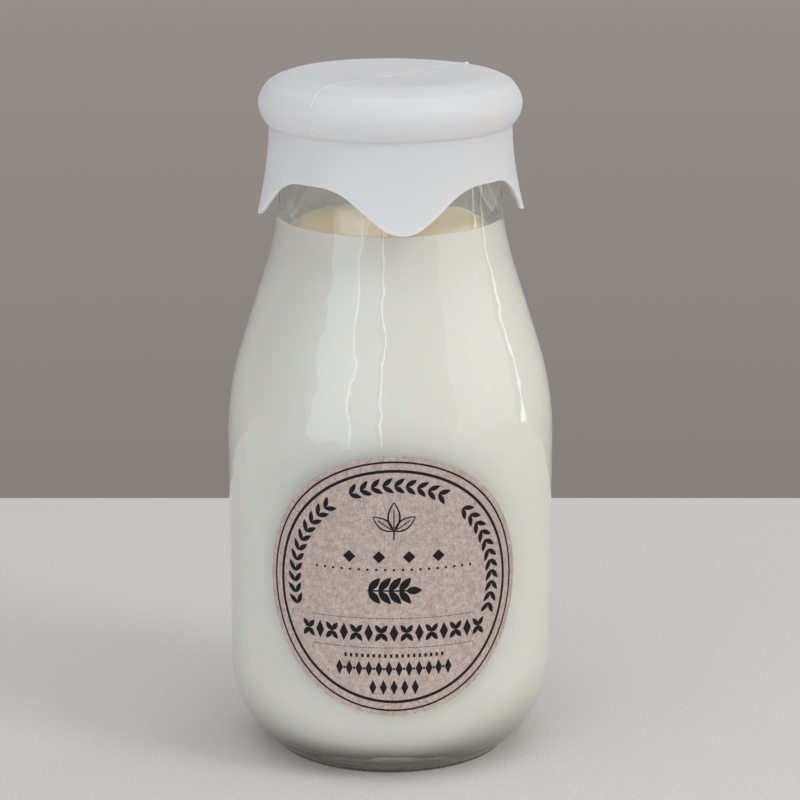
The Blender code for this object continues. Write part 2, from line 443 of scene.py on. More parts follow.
@dataclass(frozen=True)
class SoyWax:
    """Pale soy wax: soft and milky, with a creamier poured top and faint frosting."""

    side: Colour = (0.808, 0.792, 0.742)
    frosted: Colour = (0.828, 0.810, 0.770)
    top: Colour = (0.900, 0.800, 0.600)
    top_pale: Colour = (0.920, 0.840, 0.670)
    depth: float = 0.011
    scatter: Colour = (1.0, 0.85, 0.55)
    edge_fade: float = 0.0006

    def make(self, fill_height: float, top_radius: float) -> bpy.types.Material:
        """Builds the finish.

        Args:
            fill_height: The height of the poured top.
            top_radius: Its radius.

        Returns:
            The material.
        """
        g = Graph("soy_wax")
        frost = g.noise(38.0, 3.0, 0.55, (1.0, 1.0, 0.6))
        body = g.fade(frost, 0.35, 0.7, self.side, self.frosted)
        split = g.node("SeparateXYZ", Vector=g.coords())
        flat = g.node("CombineXYZ", X=split.outputs["X"], Y=split.outputs["Y"])
        radius = g.node("VectorMath", operation="LENGTH")
        g.tree.links.new(flat.outputs[0], radius.inputs[0])
        near_top = g.scaled(split.outputs["Z"], fill_height - 2 * self.edge_fade,
                            fill_height - self.edge_fade, 0.0, 1.0)
        inside = g.scaled(
            radius.outputs["Value"], top_radius - self.edge_fade, top_radius, 1.0, 0.0)
        skin = g.fade(g.noise(160.0, 3.0), 0.38, 0.66, self.top, self.top_pale)
        return g.close(g.node(
            "BsdfPrincipled", Base_Color=g.mix(g.product(near_top, inside), body, skin),
            Roughness=0.5, IOR=1.45, Normal=g.bump(g.noise(900.0, 3.0), 0.25, 0.00008),
            Subsurface_Weight=1.0, Subsurface_Radius=self.scatter,
            Subsurface_Scale=self.depth,
        ))


@dataclass(frozen=True)
class Cotton:
    """Waxed cotton yarn."""

    colour: Colour = (0.80, 0.76, 0.66)
    shade: Colour = (0.68, 0.64, 0.54)

    def make(self) -> bpy.types.Material:
        """Builds the finish."""
        g = Graph("cotton_wick")
        fibres = g.noise(2600.0, 3.0, stretch=(1.0, 1.0, 0.2))
        return g.close(g.node(
            "BsdfPrincipled", Base_Color=g.fade(fibres, 0.3, 0.7, self.shade, self.colour),
            Roughness=0.85, Normal=g.bump(fibres, 0.6, 0.0001), Sheen_Weight=0.3,
        ))


@dataclass(frozen=True)
class TinnedSteel:
    """Thin tinned sheet with rolling marks and dull patches."""

    colour: Colour = (0.70, 0.70, 0.71)
    dull: Colour = (0.60, 0.60, 0.60)

    def make(self) -> bpy.types.Material:
        """Builds the finish."""
        g = Graph("tinned_steel")
        marks = g.noise(1500.0, 3.0, stretch=(0.06, 1.0, 1.0))
        return g.close(g.node(
            "BsdfPrincipled", Metallic=1.0,
            Base_Color=g.fade(g.noise(350.0, 2.0), 0.35, 0.65, self.colour, self.dull),
            Roughness=g.scaled(marks, 0.3, 0.7, 0.25, 0.42),
            Normal=g.bump(marks, 0.15, 0.00005),
        ))


@dataclass(frozen=True)
class FoamPad:
    """White foam adhesive pad."""

    colour: Colour = (0.82, 0.82, 0.79)
    shade: Colour = (0.72, 0.72, 0.69)

    def make(self) -> bpy.types.Material:
        """Builds the finish."""
        g = Graph("adhesive_pad")
        cells = g.node("TexVoronoi", Vector=g.coords(), Scale=3500.0).outputs["Distance"]
        return g.close(g.node(
            "BsdfPrincipled", Base_Color=g.fade(cells, 0.0, 0.8, self.shade, self.colour),
            Roughness=0.8, Normal=g.bump(cells, 0.3, 0.0001),
        ))


@dataclass(frozen=True)
class KraftPaper:
    """Recycled kraft paper: a pinkish tan pulp with pale fibres and dark flecks."""

    pulp: Colour = (0.395, 0.314, 0.281)
    pale: Colour = (0.548, 0.466, 0.430)
    dark: Colour = (0.236, 0.167, 0.138)
    fleck: Colour = (0.16, 0.10, 0.08)
    rust: Colour = (0.42, 0.25, 0.15)

    def make(self) -> bpy.types.Material:
        """Builds the finish."""
        g = Graph("kraft_paper")
        grain = g.noise(4200.0, 2.0, 0.7)
        upright = g.noise(2400.0, 3.0, 0.6, (0.35, 0.35, 1.5))
        level = g.noise(2400.0, 3.0, 0.6, (1.5, 1.5, 0.35))
        base = g.fade(g.noise(800.0, 4.0, 0.7), 0.38, 0.62, self.pulp, self.pale)
        base = g.fade(upright, 0.54, 0.68, base, self.pale, 0.9)
        base = g.fade(level, 0.56, 0.70, base, self.dark, 0.8)
        base = g.fade(grain, 0.42, 0.64, base, self.dark, 0.55)
        base = g.fade(g.noise(2100.0, 2.0, 0.5), 0.66, 0.72, base, self.fleck, 0.8)
        rusty = g.noise(1700.0, 2.0, 0.6, (0.5, 0.5, 1.3))
        base = g.fade(rusty, 0.62, 0.70, base, self.rust, 0.6)
        relief = g.bump(grain, 0.25, 0.00006, g.bump(upright, 0.35, 0.00010))
        return g.close(
            g.node("BsdfPrincipled", Base_Color=base, Roughness=0.82, Normal=relief))


@dataclass(frozen=True)
class Ink:
    """Black printing ink that sinks a little into the paper's pulp."""

    colour: Colour = (0.012, 0.010, 0.010)
    worn: Colour = (0.16, 0.13, 0.12)

    def make(self) -> bpy.types.Material:
        """Builds the finish."""
        g = Graph("label_ink")
        wear = g.noise(2200.0, 3.0, 0.6)
        return g.close(g.node(
            "BsdfPrincipled", Base_Color=g.fade(wear, 0.62, 0.80, self.colour, self.worn, 0.5),
            Roughness=0.7, Specular_IOR_Level=0.15,
        ))


@dataclass(frozen=True)
class SoftVinyl:
    """Soft white moulded vinyl with a fine satin skin."""

    colour: Colour = (0.655, 0.662, 0.678)
    warm: Colour = (0.670, 0.668, 0.664)
    speck: Colour = (0.50, 0.48, 0.46)
    depth: float = 0.0035

    def make(self) -> bpy.types.Material:
        """Builds the finish."""
        g = Graph("soft_vinyl")
        colour = g.fade(g.noise(60.0, 2.0), 0.35, 0.65, self.colour, self.warm)
        colour = g.fade(g.noise(1300.0, 1.0), 0.75, 0.78, colour, self.speck, 0.22)
        skin = g.bump(g.noise(1800.0, 2.0), 0.12, 0.00006)
        skin = g.bump(g.noise(110.0, 2.0), 0.25, 0.0003, skin)
        return g.close(g.node(
            "BsdfPrincipled", Base_Color=colour, IOR=1.48, Normal=skin,
            Roughness=g.scaled(g.noise(240.0, 2.0), 0.3, 0.7, 0.40, 0.52),
            Subsurface_Weight=1.0, Subsurface_Radius=(1.0, 0.95, 0.9),
            Subsurface_Scale=self.depth,
        ))


@dataclass(frozen=True)
class Flash:
    """The thin bright skin of vinyl that squeezed out where the mould's halves met."""

    colour: Colour = (0.90, 0.90, 0.90)
    shade: Colour = (0.86, 0.86, 0.86)

    def make(self) -> bpy.types.Material:
        """Builds the finish."""
        g = Graph("vinyl_flash")
        patches = g.noise(500.0, 2.0)
        return g.close(g.node(
            "BsdfPrincipled", Base_Color=g.fade(patches, 0.35, 0.65, self.colour, self.shade),
            IOR=1.48, Roughness=0.45, Normal=g.bump(patches, 0.2, 0.0001),
        ))


@dataclass
class BottleShape:
    """The jar's section: its outside and inside radius at any height, in metres."""

    body_taper: float = 0.00024
    base_radius: float = 0.0271
    heel_height: float = 0.0215
    shoulder_height: float = 0.0771
    shoulder_round: float = 0.075
    neck_radius: float = 0.0263
    neck_length: float = 0.0214
    neck_round: float = 0.075
    lip_overhang: float = 0.0007
    lip_depth: float = 0.0095
    wall: float = 0.0040
    floor: float = 0.0074
    inner_heel: float = 0.0150
    headspace: float = 0.0331

    def __post_init__(self) -> None:
        """Takes the jar's height and width from its node and works out where the arcs meet."""
        low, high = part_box("glass_bottle")
        self.height = high[2] - low[2]
        self.body_radius = (high[0] - low[0]) / 2
        self.heel_body = self.body_radius - self.body_taper
        width = self.heel_body - self.base_radius
        self.heel_round = (width**2 + self.heel_height**2) / (2 * width)
        self.inner_heel_top = self.floor + self.inner_heel
        self.neck_bottom = self.height - self.neck_length
        self.fill_height = self.height - self.headspace
        drop = self.neck_bottom - self.shoulder_height
        arc_sum = self.shoulder_round + self.neck_round
        across = arc_sum - (self.body_radius - self.neck_radius)
        self.slope = math.atan2(drop, across) - math.acos(arc_sum / math.hypot(across, drop))
        self.shoulder_top = self.shoulder_height + self.shoulder_round * math.sin(self.slope)
        self.cone_top = self.neck_bottom - self.neck_round * math.sin(self.slope)

    def outer(self, z: float) -> float:
        """The outside radius at a height below the lip."""
        if z < self.heel_height:
            across = math.sqrt(self.heel_round**2 - (self.heel_height - z) ** 2)
            return self.heel_body - self.heel_round + across
        if z < self.shoulder_height:
            share = (self.shoulder_height - z) / (self.shoulder_height - self.heel_height)
            return self.body_radius - self.body_taper * share
        if z < self.shoulder_top:
            across = math.sqrt(self.shoulder_round**2 - (z - self.shoulder_height) ** 2)
            return self.body_radius - self.shoulder_round + across
        if z < self.cone_top:
            start = self.body_radius - self.shoulder_round * (1 - math.cos(self.slope))
            return start - (z - self.shoulder_top) * math.tan(self.slope)
        if z < self.neck_bottom:
            across = math.sqrt(self.neck_round**2 - (self.neck_bottom - z) ** 2)
            return self.neck_radius + self.neck_round - across
        return self.neck_radius

    def inner(self, z: float) -> float:
        """The inside radius at a height above the floor."""
        if z >= self.inner_heel_top:
            return self.outer(z) - self.wall
        across = math.sqrt(max(0.0, self.inner_heel**2 - (self.inner_heel_top - z) ** 2))
        return self.outer(self.inner_heel_top) - self.wall - self.inner_heel + across

    def wall_heights(self) -> list[float]:
        """Heights up the wall, closer together where it curves."""
        body = spread(self.inner_heel_top, self.shoulder_height, 20)[1:-1]
        shoulder = spread(self.shoulder_height, self.shoulder_top, 24)
        cone = spread(self.shoulder_top, self.cone_top, 8)[1:-1]
        neck = spread(self.cone_top, self.neck_bottom, 24)
        return body + shoulder + cone + neck

    def inside(self, top: float, grown: float = 0.0) -> list[Point]:
        """The inside from the floor up.

        Args:
            top: The height to stop at.
            grown: How far to move the points outward.

        Returns:
            (radius, height) points.
        """
        corner = arc(
            (self.outer(self.inner_heel_top) - self.wall - self.inner_heel,
             self.inner_heel_top),
            (self.inner_heel + grown, self.inner_heel + grown), -90, 0, 28,
        )
        heights = [z for z in self.wall_heights() if z < top] + [top]
        return corner + [(self.inner(z) + grown, z) for z in heights]


@dataclass
class GlassJar:
    """The thick clear jar."""

    shape: BottleShape
    bearing_width: float = 0.0030
    base_round: float = 0.0009
    push_up: float = 0.0022
    rim_round: float = 0.0017
    lip_round: Point = (0.0007, 0.0012)
    steps: int = 192

    def outline(self) -> list[Point]:
        """The glass section, from the middle of its underside out, up, over and back in."""
        s = self.shape
        contact = s.outer(self.base_round)
        bearing_out = contact - self.base_round
        bearing_in = bearing_out - self.bearing_width
        underside = [
            (bearing_in * share, self.push_up * (1 - share**2) ** 2) for share in spread(0, 1, 28)
        ]
        edge = [(bearing_out, 0.0)]
        turn = self.base_round + 0.0001
        edge += arc((bearing_out - 0.0001, turn), (turn, turn), -80, -35, 6)
        first = math.acos((s.heel_height - self.base_round) / s.heel_round)
        heel = [s.heel_height - s.heel_round * math.cos(a)
                for a in spread(first, math.pi / 2, 36)]
        outside = [(s.outer(z), z) for z in heel + s.wall_heights()]
        lip_radius = s.neck_radius + s.lip_overhang
        lip_bottom = s.height - s.lip_depth
        rim = s.height - self.rim_round
        mouth = s.neck_radius - s.wall
        neck = [(s.neck_radius, z) for z in spread(s.neck_bottom, lip_bottom - 0.002, 5)[1:]]
        lip = arc((lip_radius - self.lip_round[0], lip_bottom), self.lip_round, -60, 0, 6)
        lip += arc((lip_radius - self.rim_round, rim), (self.rim_round,) * 2, 0, 90, 10)
        lip += arc((mouth + self.rim_round, rim), (self.rim_round,) * 2, 90, 180, 10)
        inside = s.inside(s.neck_bottom)[::-1]
        floor = [(r, s.floor) for r in spread(inside[-1][0], 0.0, 8)[1:]]
        return underside + edge + outside + neck + lip + inside + floor

    def build(self) -> None:
        """Builds and dresses the jar."""
        Piece("jar_glass", Rides.BOTTLE, Slot.GLASS, ("glass_bottle",), 50.0).place(
            turned(self.outline(), self.steps), ClearGlass().make())


@dataclass
class WaxAndWick:
    """The poured wax, the braided wick, its metal tab and the pad under it."""

    shape: BottleShape
    into_glass: float = 0.00006
    under_film: float = 0.00025
    film_radius: float = 0.0134
    wick_radius: float = 0.0013
    wick_trim: float = 0.0064
    tab_radius: float = 0.0100
    tab_thickness: float = 0.0005
    tab_neck: float = 0.0050
    tab_neck_radius: float = 0.0021
    tab_rib: Point = (0.0040, 0.0075)
    rib_slope: float = 0.0003
    rib_height: float = 0.00015
    neck_fillet: float = 0.0006
    crimp_depth: float = 0.10
    crimp_height: float = 0.0009
    crimps: int = 3
    pad_radius: float = 0.0090
    pad_thickness: float = 0.0008
    gap: float = 0.0003
    meniscus: float = 0.0009
    meniscus_reach: Point = (0.0012, 0.0016)
    ripple: float = 0.00022
    ripple_fade: float = 0.003
    strands: int = 6
    frayed: int = 14
    fibre_radius: float = 0.00006
    pitch: float = 0.0075
    weave: float = 0.00012
    steps: int = 160

    def wax_surface(self, radius: float) -> float:
        """The height of the poured top at a radius: it climbs at the glass and at the wick."""
        s = self.shape
        from_glass = max(0.0, s.inner(s.fill_height) - radius)
        from_wick = max(0.0, radius - self.wick_radius)
        climb = self.meniscus * math.exp(-from_glass / self.meniscus_reach[0])
        climb += 0.6 * self.meniscus * math.exp(-from_wick / self.meniscus_reach[1])
        return s.fill_height - 0.0002 + climb

    def build_wax(self) -> None:
        """Builds the wax: its side lies in the skin of the glass, with no film of air."""
        s = self.shape
        tab_bottom = s.floor + self.gap * 2 + self.pad_thickness
        tab_top = tab_bottom + self.tab_thickness + self.gap
        neck_top = tab_bottom + self.tab_neck + self.gap
        bore = self.wick_radius + 0.0001
        room = [
            (bore, neck_top), (self.tab_neck_radius + self.gap, neck_top),
            (self.tab_neck_radius + self.gap, tab_top),
            (self.tab_radius + self.gap, tab_top),
            (self.tab_radius + self.gap, s.floor + self.under_film),
        ]
        rim = s.inner(s.fill_height) + self.into_glass
        top = [(r, self.wax_surface(r)) for r in spread(rim, bore, 60)]
        side = s.inside(s.fill_height, self.into_glass)[:-1]
        film = [(self.film_radius, s.floor + self.under_film),
                (self.film_radius + 0.0003, s.floor - self.into_glass)]
        made = turned(room + film + side + top, self.steps)

        def settle(place: Vector) -> Vector:
            """Lets the poured top undulate a little as it sets."""
            if place.z > s.fill_height - 0.0008:
                wave = noise.noise(Vector((place.x * 90, place.y * 90, 0.3)))
                away = min(1.0, max(0.0, rim - Vector(place.xy).length) / self.ripple_fade)
                place.z += self.ripple * wave * away
            return place

        move_points(made, settle)
        piece = Piece("poured_wax", Rides.BOTTLE, Slot.WAX, ("wax_fill",), 60.0)
        piece.place(made, SoyWax().make(s.fill_height, s.inner(s.fill_height)))

    def strand(self, number: int, bottom: float, top: float) -> bmesh.types.BMesh:
        """One yarn of the round braid.

        Args:
            number: Which yarn. Even ones wind one way and odd ones the other.
            bottom: The height of its lower end.
            top: The height of its upper end.

        Returns:
            The yarn's tube.
        """
        way = 1 if number % 2 == 0 else -1
        phase = math.tau * number / self.strands
        yarn = self.wick_radius * 0.42
        mean = self.wick_radius - yarn * 1.15
        count = int((top - bottom) / 0.00045)
        path = []
        for z in spread(bottom, top, count):
            wound = math.tau * (z - bottom) / self.pitch
            turn = way * wound + phase
            radius = mean + self.weave * way * math.cos(self.strands * wound)
            path.append(Vector((radius * math.cos(turn), radius * math.sin(turn), z)))
        return tube(path, yarn)

    def build_wick(self) -> None:
        """Builds the braided wick with its trimmed, slightly frayed end."""
        s = self.shape
        bottom = s.floor + self.gap * 2 + self.pad_thickness + 0.0002
        top = s.fill_height + self.wick_trim
        parts = [self.strand(i, bottom, top) for i in range(self.strands)]
        for i in range(self.frayed):
            turn = math.tau * i * 0.618
            way = Vector((math.cos(turn), math.sin(turn), 0.0))
            side = way * (0.0003 + 0.00005 * (i % 5))
            start = way * 0.0007 + Vector((0.0, 0.0, top - 0.0006))
            path = [start, start + side * 0.5 + Vector((0, 0, 0.0006)),
                    start + side + Vector((0, 0, 0.0009))]
            parts.append(tube(path, self.fibre_radius, 4))
        Piece("braided_wick", Rides.BOTTLE, Slot.COTTON, ("wick",), 60.0).place(
            join(parts), Cotton().make())

    def build_tab(self) -> None:
        """Builds the stamped tab with the neck that is crimped on the wick, and its pad."""
        s = self.shape
        pad_bottom = s.floor + self.gap / 3
        pad_top = pad_bottom + self.pad_thickness
        edge = self.pad_thickness / 2
        pad = [(0.0, pad_bottom)]
        pad += arc((self.pad_radius - edge * 0.5, pad_bottom + edge), (edge * 0.5, edge),
                   -90, 90, 8)
        pad += [(0.0, pad_top)]
        Piece("wick_pad", Rides.BOTTLE, Slot.PAD, ("wick_sticker",)).place(
            turned(pad, 64), FoamPad().make())
        bottom = s.floor + self.gap * 2 + self.pad_thickness
        top = bottom + self.tab_thickness
        bore = self.wick_radius + 0.00015
        neck = bore + 0.0005
        neck_top = bottom + self.tab_neck
        edge = self.tab_thickness / 2
        rib_in, rib_out = self.tab_rib
        ridge_in, ridge_out = rib_in + self.rib_slope, rib_out - self.rib_slope
        outline = [(bore, bottom)]
        outline += [(r, bottom) for r in (rib_in, ridge_in, ridge_out, rib_out)]
        outline += arc((self.tab_radius - edge, bottom + edge), (edge, edge), -90, 90, 8)
        ridge = top + self.rib_height
        outline += [(rib_out, top), (ridge_out, ridge), (ridge_in, ridge)]
        fillet = self.neck_fillet
        outline += [(rib_in, top), (neck + fillet, top)]
        outline += arc((neck + fillet, top + fillet), (fillet, fillet), -90, -180, 5)[1:]
        outline += [(neck, z) for z in spread(top + 0.0008, neck_top, 12)]
        outline += [(bore, z) for z in spread(neck_top, top, 12)]
        made = turned(outline, 72)

        def crimp(place: Vector) -> Vector:
            """Squeezes the neck on to the wick at a few places round it."""
            radius = Vector(place.xy).length
            if radius > neck + 0.0001 or place.z < top + 0.0010:
                return place
            turn = math.atan2(place.y, place.x)
            band = math.exp(-(((place.z - (top + neck_top) / 2) / self.crimp_height) ** 2))
            pinch = 1 - self.crimp_depth * band * max(0.0, math.cos(self.crimps * turn)) ** 2
            return Vector((place.x * pinch, place.y * pinch, place.z))

        move_points(made, crimp)
        Piece("wick_tab", Rides.BOTTLE, Slot.TIN, ("wick_sustainer",)).place(
            made, TinnedSteel().make())

    def build(self) -> None:
        """Builds every piece inside the jar."""
        self.build_wax()
        self.build_wick()
        self.build_tab()


@dataclass
class PaperLabel:
    """The round kraft label, drawn flat and then wrapped on the front of the glass."""

    shape: BottleShape
    radius: float = 0.03175
    thickness: float = 0.00012
    centre: float = 0.0504
    turn: float = math.radians(1.4)
    lift: float = 0.00004
    ink: float = 0.00002
    rings: tuple[Point, ...] = ((0.03005, 0.0305), (0.02780, 0.0285))
    laurel_share: float = 0.775
    laurel_leaf: Point = (0.0031, 0.00120)
    laurel_lean: float = 0.62
    sprig_base: float = 0.0136
    sprig_leaves: tuple[Point, ...] = ((0.0, 0.0072), (0.95, 0.0062), (-0.95, 0.0062))
    cross_turn: float = 0.95
    strips: int = 64

    def wrap(self, place: Vector) -> Vector:
        """Bends a flat point (across, up, out) on to the glass."""
        z = self.centre + place.y
        angle = self.turn - math.pi / 2 + place.x / self.shape.body_radius
        radius = self.shape.outer(z) + self.lift + place.z
        return Vector((radius * math.cos(angle), radius * math.sin(angle), z))

    def flat_ring(self, inner: float, outer: float, low: float, high: float,
                  rings: int, steps: int) -> bmesh.types.BMesh:
        """A flat ring or disc.

        Args:
            inner: Its inner radius, or 0 for a disc.
            outer: Its outer radius.
            low: The height of its underside.
            high: The height of its face.
            rings: How many bands it has between its radii.
            steps: How many faces go round.

        Returns:
            The shape.
        """
        radii = spread(inner, outer, rings)
        return turned([(r, low) for r in radii] + [(r, high) for r in radii[::-1]], steps)

    def print_face(self, face: bmesh.types.BMesh, at: Point, turn: float) -> bmesh.types.BMesh:
        """Gives a flat shape the thickness of the ink and puts it in its place.

        Args:
            face: The shape, flat on the paper's face.
            at: Where its origin goes on the label.
            turn: How far it is turned, in radians.

        Returns:
            The same shape, closed.
        """
        raised = bmesh.ops.extrude_face_region(face, geom=face.faces[:])
        bmesh.ops.translate(
            face, vec=(0, 0, self.ink),
            verts=[v for v in raised["geom"] if isinstance(v, bmesh.types.BMVert)],
        )
        bmesh.ops.rotate(face, verts=face.verts, matrix=Matrix.Rotation(turn, 3, "Z"))
        bmesh.ops.translate(face, vec=(at[0], at[1], 0.0), verts=face.verts)
        bmesh.ops.recalc_face_normals(face, faces=face.faces)
        return face

    def stamp(self, points: list[Point], at: Point, turn: float = 0.0) -> bmesh.types.BMesh:
        """A solid printed shape.

        Args:
            points: Its outline, anticlockwise.
            at: Where its origin goes on the label.
            turn: How far it is turned, in radians.

        Returns:
            The shape, as thick as the ink.
        """
        made = bmesh.new()
        rim = bmesh.ops.create_circle(made, cap_ends=True, radius=1.0, segments=len(points))
        for vert, (x, y) in zip(rim["verts"], points):
            vert.co = (x, y, self.thickness)
        return self.print_face(made, at, turn)

    def drawn_line(self, outer: list[Point], inner: list[Point], at: Point,
                   turn: float) -> bmesh.types.BMesh:
        """A printed line that runs round between two outlines.

        Args:
            outer: The line's outer edge.
            inner: Its inner edge, with as many points.
            at: Where its origin goes on the label.
            turn: How far it is turned, in radians.

        Returns:
            The shape, as thick as the ink.
        """
        made = bmesh.new()
        for outline in (outer, inner):
            rim = bmesh.ops.create_circle(made, radius=1.0, segments=len(outline))
            for vert, (x, y) in zip(rim["verts"], outline):
                vert.co = (x, y, self.thickness)
        bmesh.ops.bridge_loops(made, edges=made.edges[:])
        return self.print_face(made, at, turn)

    @staticmethod
    def leaf(length: float, width: float) -> list[Point]:
        """A pointed leaf along +x from its stalk."""
        count = 9
        upper = [
            (length * t, width / 2 * math.sin(math.pi * t) ** 0.8 * (1.15 - 0.3 * t))
            for t in spread(0, 1, count)
        ]
        return [(x, -y) for x, y in upper] + [(x, y) for x, y in upper[-2:0:-1]]

    @staticmethod
    def lozenge(width: float, height: float) -> list[Point]:
        """A diamond about the origin."""
        return [(width / 2, 0.0), (0.0, height / 2), (-width / 2, 0.0), (0.0, -height / 2)]

    @staticmethod
    def bar(width: float, height: float) -> list[Point]:
        """An upright rectangle about the origin."""
        x, y = width / 2, height / 2
        return [(x, -y), (x, y), (-x, y), (-x, -y)]

    @staticmethod
    def dot(radius: float) -> list[Point]:
        """A round dot about the origin."""
        return [
            (radius * math.cos(a), radius * math.sin(a)) for a in spread(0, math.tau, 12)[:-1]
        ]

    def laurel_arc(self, middle: float, half: float, count: int) -> list[bmesh.types.BMesh]:
        """Pairs of small leaves along an arc inside the rings.

        Args:
            middle: The arc's middle angle in degrees, from +x.
            half: How far it runs to each side, in degrees.
            count: How many pairs there are.

        Returns:
            The leaves.
        """
        made = []
        for step in spread(middle + half, middle - half, count - 1):
            angle = math.radians(step)
            centre = self.radius * self.laurel_share
            at = (centre * math.cos(angle), centre * math.sin(angle))
            for side in (1, -1):
                turn = angle - math.pi / 2 + side * self.laurel_lean
                made.append(self.stamp(self.leaf(*self.laurel_leaf), at, turn))
        return made

    def row(self, outline: list[Point], height: float, half: float,
            count: int) -> list[bmesh.types.BMesh]:
        """A level row of one printed shape.

        Args:
            outline: The shape.
            height: The row's height above the label's centre.
            half: How far it runs to each side.
            count: How many shapes it has.

        Returns:
            The shapes.
        """
        return [self.stamp(outline, (x, height)) for x in spread(-half, half, count - 1)]

    def sprig(self) -> list[bmesh.types.BMesh]:
        """The line-drawn sprig near the top: three open leaves on short stalks."""
        made = []
        base = self.sprig_base
        for turn, length in self.sprig_leaves:
            angle = math.pi / 2 + turn
            outer = self.leaf(length, length * 0.44)
            inner = [(x * 0.86 + length * 0.075, y * 0.72) for x, y in outer]
            made.append(self.drawn_line(outer, inner, (0.0, base), angle))
            made.append(self.stamp(
                self.bar(length * 0.62, 0.00028),
                (length * 0.42 * math.cos(angle), base + length * 0.42 * math.sin(angle)),
                angle))
        made.append(self.stamp(self.bar(0.00034, 0.0022), (0.0, base - 0.0009)))
        return made

    def branch(self, at: Point) -> list[bmesh.types.BMesh]:
        """The solid leafy branch in the middle, which lies level.

        Args:
            at: Where the middle of its stem goes.

        Returns:
            The stem and the leaves.
        """
        made = [self.stamp(self.bar(0.0096, 0.0004), at)]
        for place, x in enumerate(spread(-0.0046, 0.0026, 3)):
            size = 0.0040 + 0.0004 * math.sin(math.pi * (place + 1) / 5)
            for side in (1, -1):
                start = (at[0] + x, at[1])
                made.append(self.stamp(self.leaf(size, 0.0018), start, side * 0.85))
        made.append(self.stamp(self.leaf(0.0038, 0.0019), (at[0] + 0.0042, at[1])))
        return made

    def prints(self) -> list[bmesh.types.BMesh]:
        """Everything printed inside the two rings."""
        low, high = self.thickness, self.thickness + self.ink
        made = [self.flat_ring(*ring, low, high, 1, 256) for ring in self.rings]
        made += self.laurel_arc(middle=90, half=25, count=9)
        made += self.laurel_arc(middle=163, half=31, count=11)
        made += self.laurel_arc(middle=17, half=31, count=11)
        made += self.sprig()
        made += self.row(self.lozenge(0.0030, 0.0030), height=0.0074, half=0.0105, count=4)
        made += self.row(self.dot(0.00032), height=0.0043, half=0.0185, count=19)
        made += self.branch((-0.0014, -0.0008))
        made += self.row(self.bar(0.00036, 0.00018), height=-0.0076, half=0.0193, count=62)
        across, height, last = 0.0208, -0.0112, 14
        for place, x in enumerate(spread(-across, across, last)):
            if place % 2:
                made.append(self.stamp(self.lozenge(0.0021, 0.0044), (x, height)))
                continue
            turn = self.cross_turn
            made += [self.stamp(self.leaf(0.0025, 0.0012), (x, height), way)
                     for way in (turn, -turn, math.pi - turn, math.pi + turn)]
        made += self.row(self.bar(0.00036, 0.00018), height=-0.0148, half=0.0193, count=62)
        made += self.row(self.bar(0.0006, 0.0009), height=-0.0168, half=0.0115, count=18)
        made += self.row(self.lozenge(0.0017, 0.0038), height=-0.0200, half=0.0130, count=12)
        made += self.row(self.dot(0.0003), height=-0.0200, half=0.0118, count=11)
        made += self.row(self.lozenge(0.0017, 0.0038), height=-0.0246, half=0.0050, count=5)
        return made

    def build(self) -> None:
        """Builds the paper and its print."""
        paper = self.flat_ring(0.0, self.radius, 0.0, self.thickness, 24, 192)
        move_points(paper, self.wrap)
        Piece("label_paper", Rides.BOTTLE, Slot.PAPER, ("front_label",)).place(
            paper, KraftPaper().make())
        ink = join(self.prints())
        for x in spread(-self.radius, self.radius, self.strips):
            bmesh.ops.bisect_plane(
                ink, geom=ink.verts[:] + ink.edges[:] + ink.faces[:], dist=1e-7,
                plane_co=(x, 0, 0), plane_no=(1, 0, 0),
            )
        move_points(ink, self.wrap)
        Piece("label_print", Rides.BOTTLE, Slot.PAPER).place(ink, Ink().make())


